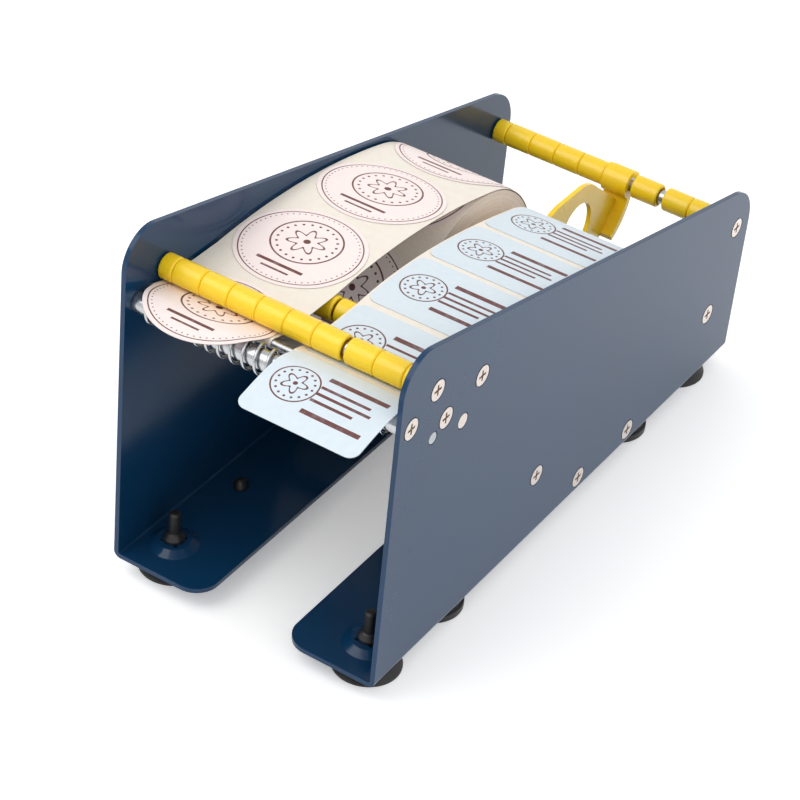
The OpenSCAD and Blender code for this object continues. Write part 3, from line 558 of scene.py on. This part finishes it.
# the bar's side view: the centre and the radius of its sharp nose and of its blunt end
barShape = {"nose": (15.2, 116.3), "noseR": 1.5, "end": (43.0, 96.6), "endR": 4.6}
webs = {
    "thickMm": 0.4, "gap": 0.3, "noseGap": 0.05, "tail": 20.0,
    # where a web leaves its roll, in degrees, and the handles of its curve to the support rollers
    "leave": 75.0, "leaveReach": 38.0, "landing": (35.0, 3.0),
    "wrap": {"left": 50.0, "right": 18.5},  # each web's end lies between two labels
    "steps": {"roll": 16, "free": 32, "nose": 12},
}
labels = {
    "thickMm": 0.3, "gap": 0.02,
    # how far the dispensed ones reach past the panels, how far the label's tip is below the top of
    # the coil and the sticker's above it, and the handles of the curve that leads there
    "reach": 22.0, "droop": 3.6, "stickerRise": 0.8,
    "overReach": 6.0, "tipReach": 12.0, "tipShare": 0.75, "steps": 14,
}


def polar(centre, r, degrees):
    return Vector(centre) + r * Vector((math.cos(math.radians(degrees)),
                                        math.sin(math.radians(degrees))))


def arcPoints(centre, r, a0, a1, steps):
    return [polar(centre, r, a0 + (a1 - a0) * i / steps) for i in range(steps + 1)]


def bezierPoints(p0, p1, p2, p3, steps):
    made = []
    for i in range(1, steps + 1):
        t = i / steps
        s = 1 - t
        made.append(s ** 3 * p0 + 3 * s * s * t * p1 + 3 * s * t * t * p2 + t ** 3 * p3)
    return made


# the points of the side view that both webs pass, and the bar's slope and taper
nose, barEnd = Vector(barShape["nose"]), Vector(barShape["end"])
barAxis = (barEnd - nose).normalized()
taper = math.asin((barShape["endR"] - barShape["noseR"]) / (barEnd - nose).length)
lowerNormal = Vector((-math.sin(taper) * barAxis[0] + math.cos(taper) * barAxis[1],
                      -math.cos(taper) * barAxis[0] - math.sin(taper) * barAxis[1]))
lowerAngle = math.degrees(math.atan2(lowerNormal[1], lowerNormal[0])) + 360
overSupport = Vector(rollers["rod"]["support"]) + Vector(
    (0, rollers["outerR"] + webs["gap"] + webs["thickMm"] / 2))
underGuide = Vector(rollers["rod"]["guide"]) - Vector(
    (0, rollers["outerR"] + 2 * webs["gap"] + labels["thickMm"] + webs["thickMm"] / 2))
wrapR = barShape["noseR"] + webs["noseGap"] + webs["thickMm"] / 2
toNose = nose - underGuide
# the angle at which a web rises from the guide rollers to the nose
rise = 180 - math.degrees(math.atan2(toNose[1], toNose[0])) + math.degrees(
    math.asin(wrapR / toNose.length))


def webRoute(side):
    # round the roll, over the support rollers, under the guide rollers and back under the nose
    spec, steps = rolls[side], webs["steps"]
    r = spec["r"] + webs["gap"] + webs["thickMm"] / 2
    leave = polar(spec["at"], r, webs["leave"])
    ahead = Vector((-math.sin(math.radians(webs["leave"])),
                    math.cos(math.radians(webs["leave"]))))
    below = Vector((-lowerNormal[1], lowerNormal[0]))
    return (arcPoints(spec["at"], r, webs["leave"] - webs["wrap"][side], webs["leave"],
                      steps["roll"])
            + bezierPoints(leave, leave + webs["leaveReach"] * ahead,
                           overSupport + Vector(webs["landing"]), overSupport, steps["free"])
            + [underGuide] + arcPoints(nose, wrapR, 90 - rise, lowerAngle, steps["nose"])
            + [nose + wrapR * lowerNormal + webs["tail"] * below])


def outRoute(tipHeight):
    # over the web to the nose, and on over the coil to the tip that is being dispensed
    lift = webs["thickMm"] / 2 + labels["thickMm"] / 2 + labels["gap"]
    half = math.radians(rise / 2)
    lead = underGuide + lift / math.cos(half) * Vector((math.sin(half), math.cos(half)))
    slope = math.tan(math.radians(rise))
    over = Vector((coil["at"][0], lead[1] + (lead[0] - coil["at"][0]) * slope))
    tip = Vector((-labels["reach"], tipHeight))
    ahead = Vector((-math.cos(math.radians(rise)), math.sin(math.radians(rise))))
    droop = Vector((labels["tipReach"], (over[1] - tipHeight) * labels["tipShare"]))
    return [overSupport + Vector((0, lift)), lead, over] + bezierPoints(
        over, over + labels["overReach"] * ahead, tip + droop, tip, labels["steps"])


def routeSpan(route):
    return sum((b - a).length for a, b in zip(route, route[1:]))


def alongRoute(route, s):
    # the point at distance s along a route, and the direction there; past an end it runs straight
    for i in range(len(route) - 1):
        length = (route[i + 1] - route[i]).length
        if s <= length or i == len(route) - 2:
            way = (route[i + 1] - route[i]).normalized()
            return route[i] + way * s, way
        s -= length


def lengthTo(route, y):
    # the distance along a route to the first point that is as far forward as y
    total = 0.0
    for a, b in zip(route, route[1:]):
        if b[0] <= y:
            return total + (b - a).length * (a[0] - y) / max(a[0] - b[0], 0.0001)
        total += (b - a).length
    return total


def raised(route, offset):
    # the same route moved sideways, towards the side that carries the labels
    made = []
    for i in range(len(route)):
        way = (route[min(i + 1, len(route) - 1)] - route[max(i - 1, 0)]).normalized()
        made.append(route[i] + Vector((way[1], -way[0])) * offset)
    return made


def laidSheet(bm, route, offset=0.0):
    # lays a flat sheet, drawn in mm with y along the route, on the route at a height above it
    for v in bm.verts:
        point, way = alongRoute(route, v.co.y)
        spot = point + Vector((way[1], -way[0])) * offset
        v.co = place(v.co.x, spot[0], spot[1])


def flatRectangle(left, right, start, end):
    bm = bmesh.new()
    bmesh.ops.create_grid(bm, x_segments=1, y_segments=1, size=0.5)
    for v in bm.verts:
        v.co.x = left + (v.co.x + 0.5) * (right - left)
        v.co.y = start + (v.co.y + 0.5) * (end - start)
    return bm


def cutAcross(bm, places):
    # crosswise cuts, so that the sheet can bend there
    for s in places:
        bmesh.ops.bisect_plane(bm, geom=bm.verts[:] + bm.edges[:] + bm.faces[:],
                               dist=merge["cut"], plane_co=(0, s, 0), plane_no=(0, 1, 0))


def faceUp(bm):
    # the side that carries the labels faces outwards from the roll
    bm.normal_update()
    top = max(bm.faces, key=lambda f: f.calc_center_median().z)
    if top.normal.z < 0:
        bmesh.ops.reverse_faces(bm, faces=bm.faces)


def thicken(piece, thickMm, offset):
    # offset -1 thickens away from the labels' side, 1 towards it and 0 both ways
    piece.modifiers.clear()
    solid = piece.modifiers.new("thickness", "SOLIDIFY")
    solid.thickness = thickMm / 1000
    solid.offset = offset
    evenShading(piece)


def makeWeb(side):
    route = webRoute(side)
    bm = flatRectangle(*rolls[side]["x"], 0.0, routeSpan(route))
    cutAcross(bm, [routeSpan(route[:i + 2]) for i in range(len(route) - 1)])
    laidSheet(bm, route, webs["thickMm"] / 2)  # the upper face, which thickens downwards
    bmesh.ops.recalc_face_normals(bm, faces=bm.faces)
    faceUp(bm)
    piece = finishPiece(side + "_web_dressed", bm, finishes["liner"], "frame",
                        (side + "_web",), smoothAngle=50)
    thicken(piece, webs["thickMm"], -1)


makeWeb("left")
makeWeb("right")
print("webs made")

stickers = {"r": 24.9, "pitch": 54.0, "firstY": 15.0, "x": -30.0, "cutMm": 2.0, "segments": 96,
            "printR": 25.0, "onWeb": 3, "onRoll": 5}
squares = {"size": (49.0, 37.0), "corner": 4.0, "pitch": 40.0, "x": 30.5, "cutMm": 2.0,
           "cornerSegments": 8, "tipGap": 0.2, "onWeb": 4, "onRoll": 7}
# the outermost turn of a roll carries labels too, pressed flat on it behind the web's end
rollLabels = {"thickMm": 0.1, "gap": 0.02, "behindEnd": 2.0, "steps": 240}


def cutPlaces(start, end, every):
    made = []
    s = start + every
    while s < end:
        made.append(s)
        s += every
    return made


def flatUv(bm, left, end):
    # the label's own map, in mm from its near left corner
    layer = bm.loops.layers.uv.new("labelMm")
    for face in bm.faces:
        for loop in face.loops:
            loop[layer].uv = (loop.vert.co.x - left, end - loop.vert.co.y)


def makeSticker(route, middle):
    bm = bmesh.new()
    bmesh.ops.create_circle(bm, radius=stickers["r"], segments=stickers["segments"], cap_ends=True)
    bmesh.ops.translate(bm, verts=bm.verts, vec=(stickers["x"], middle, 0))
    cutAcross(bm, cutPlaces(middle - stickers["r"], middle + stickers["r"], stickers["cutMm"]))
    flatUv(bm, stickers["x"] - stickers["printR"], middle + stickers["printR"])
    laidSheet(bm, route)
    return bm


def makeSquare(route, start, end):
    left = squares["x"] - squares["size"][0] / 2
    bm = flatRectangle(left, left + squares["size"][0], start, end)
    bmesh.ops.bevel(bm, geom=bm.verts[:], offset=squares["corner"], offset_type="OFFSET",
                    segments=squares["cornerSegments"], profile=0.5, affect="VERTICES",
                    material=-1)
    cutAcross(bm, cutPlaces(start, end, squares["cutMm"]))
    flatUv(bm, left, end)
    laidSheet(bm, route)
    return bm


def layLabel(name, bm, material, replaced=()):
    faceUp(bm)
    piece = finishPiece(name, bm, finishes[material], "frame", replaced, smoothAngle=60)
    thicken(piece, labels["thickMm"], 1)


def laidLabels():
    # the first sticker and label still lie partly on the web; the rest are further back on it
    coilTop = coil["at"][1] + coil["r"] + coil["wireR"]
    stickerOut = outRoute(coilTop + labels["stickerRise"])
    labelOut = outRoute(coilTop - labels["droop"])
    under, onWeb = -labels["thickMm"] / 2, webs["thickMm"] / 2
    layLabel("dispensed_sticker_dressed",
             makeSticker(raised(stickerOut, under), lengthTo(stickerOut, stickers["firstY"])),
             "roundLabel", ("dispensed_sticker",))
    layLabel("dispensed_label_dressed",
             makeSquare(raised(labelOut, under), lengthTo(labelOut, barShape["nose"][0]),
                        routeSpan(labelOut) - squares["tipGap"]),
             "squareLabel", ("dispensed_label",))
    leftTop = raised(webRoute("left"), onWeb)
    for i in range(1, stickers["onWeb"] + 1):
        middle = lengthTo(leftTop, stickers["firstY"] + i * stickers["pitch"])
        layLabel("left_web_sticker_" + str(i), makeSticker(leftTop, middle), "roundLabel",
                 ("left_web_stickers",) if i == 1 else ())
    rightTop = raised(webRoute("right"), onWeb)
    for i in range(1, squares["onWeb"] + 1):
        nearEdge = barShape["nose"][0] + i * squares["pitch"] - squares["size"][1]
        end = lengthTo(rightTop, nearEdge)
        layLabel("right_web_label_" + str(i),
                 makeSquare(rightTop, end - squares["size"][1], end), "squareLabel",
                 ("right_web_labels",) if i == 1 else ())


def laidOnRoll(side, kind, count, pitch):
    # labels at their own pitch, from the web's end backwards
    spec = rolls[side]
    behind = webs["leave"] - webs["wrap"][side] - rollLabels["behindEnd"]
    circle = arcPoints(spec["at"], spec["r"] + rollLabels["gap"], behind - 360, behind,
                       rollLabels["steps"])
    for i in range(count):
        end = routeSpan(circle) - i * pitch
        if kind == "sticker":
            bm, finish = makeSticker(circle, end - stickers["r"]), finishes["roundLabel"]
        else:
            bm = makeSquare(circle, end - squares["size"][1], end)
            finish = finishes["squareLabel"]
        bmesh.ops.recalc_face_normals(bm, faces=bm.faces)
        label = finishPiece(side + "_roll_label_" + str(i + 1), bm, finish, spec["body"],
                            smoothAngle=60)
        thicken(label, rollLabels["thickMm"], 0)


laidLabels()
laidOnRoll("left", "sticker", stickers["onRoll"], stickers["pitch"])
laidOnRoll("right", "square", squares["onRoll"], squares["pitch"])
print("labels laid")

feet = {
    "inset": 14.5, "corner": 18.0, "frontBumper": 61.0, "rearBumper": 202.0, "depth": 270.0,
    "outerHalf": 59.0, "steps": 64, "edgeMm": 0.12, "sharpAngle": 25,
    # outlines from the foot's axis outwards: radius and height in mm, from the flange's underside
    "cup": [(0, -6.4), (10.5, -7.6), (11.9, -8), (13.5, -8), (13.5, -7.1), (7.2, -2.2),
            (6, -1.6), (6, 1.9), (2.7, 1.9), (2.7, 4.1), (4.2, 4.1), (4.2, 5.3), (3.1, 7.1),
            (2.3, 7.6), (2.3, 16.2), (1.6, 17.0), (0, 17.0)],
    "bumper": [(0, -8), (12.4, -8), (13, -7.4), (13, -4.6), (11.8, -4.2), (11.8, -3.6),
               (11.4, -3.2), (11.4, -0.1), (2.0, -0.1), (2.0, 2.1), (3.0, 2.1), (3.0, 2.9),
               (2.3, 4.7), (1.2, 5.9), (0, 6.3)],
}


def makeFoot(node, kind, side, y):
    bm = bmesh.new()
    verts = [bm.verts.new(Vector((r, 0, z)) / 1000) for r, z in feet[kind]]
    edges = [bm.edges.new((a, b)) for a, b in zip(verts, verts[1:])]
    bmesh.ops.spin(bm, geom=verts + edges, cent=(0, 0, 0), axis=(0, 0, 1), angle=2 * math.pi,
                   steps=feet["steps"], use_merge=True, use_duplicate=False)
    bmesh.ops.remove_doubles(bm, verts=bm.verts, dist=merge["turned"])
    bmesh.ops.recalc_face_normals(bm, faces=bm.faces)
    roundedEdges(bm, feet["edgeMm"], sharpAngle=feet["sharpAngle"])
    x = side * (feet["outerHalf"] - feet["inset"])
    bmesh.ops.translate(bm, verts=bm.verts, vec=place(x, y, 0))
    finishPiece(node + "_dressed", bm, finishes["rubber"], "frame", (node,), smoothAngle=40)


for side, word in ((-1, "left"), (1, "right")):
    makeFoot("suction_foot_front_" + word, "cup", side, feet["corner"])
    makeFoot("suction_foot_rear_" + word, "cup", side, feet["depth"] - feet["corner"])
    makeFoot("bumper_foot_front_" + word, "bumper", side, feet["frontBumper"])
    makeFoot("bumper_foot_rear_" + word, "bumper", side, feet["rearBumper"])
print("feet made")

# the glow and the world's two strengths, then the lamps: watts, size and place in metres
room = {"floor": "#ffffff", "floorSize": 6.0, "floorGlow": 0.28, "world": 0.83, "worldSeen": 1.0}
lamps = {"aim": (0, 0, 0.07), "key": (5.0, 0.9, (-0.5, -0.6, 1.1)),
         "fill": (2.5, 1.2, (1.0, -0.4, 0.8))}


def seenDirectly(tree, unseen, seen):
    # a strength for the camera and for what metal, gloss and clear plastic show of the room
    rays = addNode(tree, "ShaderNodeLightPath").outputs
    direct = highest(tree, [rays["Is Camera Ray"], rays["Is Glossy Ray"],
                            rays["Is Transmission Ray"]])
    return addNode(tree, "ShaderNodeMapRange", {1: 0.0, 2: 1.0, 3: unseen, 4: seen},
                   {0: direct}).outputs[0]


def makeFloor():
    bm = bmesh.new()
    bmesh.ops.create_grid(bm, x_segments=1, y_segments=1, size=room["floorSize"])
    mesh = bpy.data.meshes.new("floor")
    bm.to_mesh(mesh)
    bm.free()
    floor = bpy.data.objects.new("floor", mesh)
    bpy.context.scene.collection.objects.link(floor)
    material, tree, shader = newMaterial("whitePaperSweep", room["floor"], Roughness=0.9)
    # the floor looks a little brighter than it lights the machine, and keeps the shadow
    shader.inputs["Emission Color"].default_value = (1, 1, 1, 1)
    tree.links.new(seenDirectly(tree, 0.0, room["floorGlow"]), shader.inputs["Emission Strength"])
    mesh.materials.append(material)


def makeWorld():
    world = bpy.data.worlds.new("softRoom")
    world.use_nodes = True
    bpy.context.scene.world = world
    background = world.node_tree.nodes["Background"]
    background.inputs["Color"].default_value = (1, 1, 1, 1)
    world.node_tree.links.new(seenDirectly(world.node_tree, room["world"], room["worldSeen"]),
                              background.inputs["Strength"])


def makeLamp(name):
    power, size, spot = lamps[name]
    light = bpy.data.lights.new(name, "AREA")
    light.energy, light.size = power, size
    lamp = bpy.data.objects.new(name, light)
    lamp.location = spot
    lamp.rotation_mode = "QUATERNION"
    lamp.rotation_quaternion = (Vector(lamps["aim"]) - Vector(spot)).to_track_quat("-Z", "Y")
    bpy.context.scene.collection.objects.link(lamp)


makeFloor()
makeWorld()
makeLamp("key")
makeLamp("fill")

# the camera's angles in degrees and its place in mm, for a picture 800 across
shot = {"azimuth": 29.783, "elevation": 37.091, "roll": 5.933, "spot": (420.586, -634.442, 683.215),
        "focalPx": 2766.6, "imagePx": 800.0, "sensor": 36.0}


def makeCamera():
    a, e, r = (math.radians(shot[k]) for k in ("azimuth", "elevation", "roll"))
    back = Vector((math.sin(a) * math.cos(e), -math.cos(a) * math.cos(e), math.sin(e)))
    level = (-back).cross(Vector((0, 0, 1))).normalized()
    upright = level.cross(-back)
    right = math.cos(r) * level + math.sin(r) * upright
    up = -math.sin(r) * level + math.cos(r) * upright
    data = bpy.data.cameras.new("camera")
    data.sensor_width = shot["sensor"]
    data.lens = shot["focalPx"] / shot["imagePx"] * shot["sensor"]
    camera = bpy.data.objects.new("camera", data)
    camera.matrix_world = Matrix.Translation(place(*shot["spot"])) @ Matrix(
        (right, up, back)).transposed().to_4x4()
    bpy.context.scene.collection.objects.link(camera)
    bpy.context.scene.camera = camera


makeCamera()
bpy.context.scene.view_settings.view_transform = "Standard"
print("room, light and camera made")
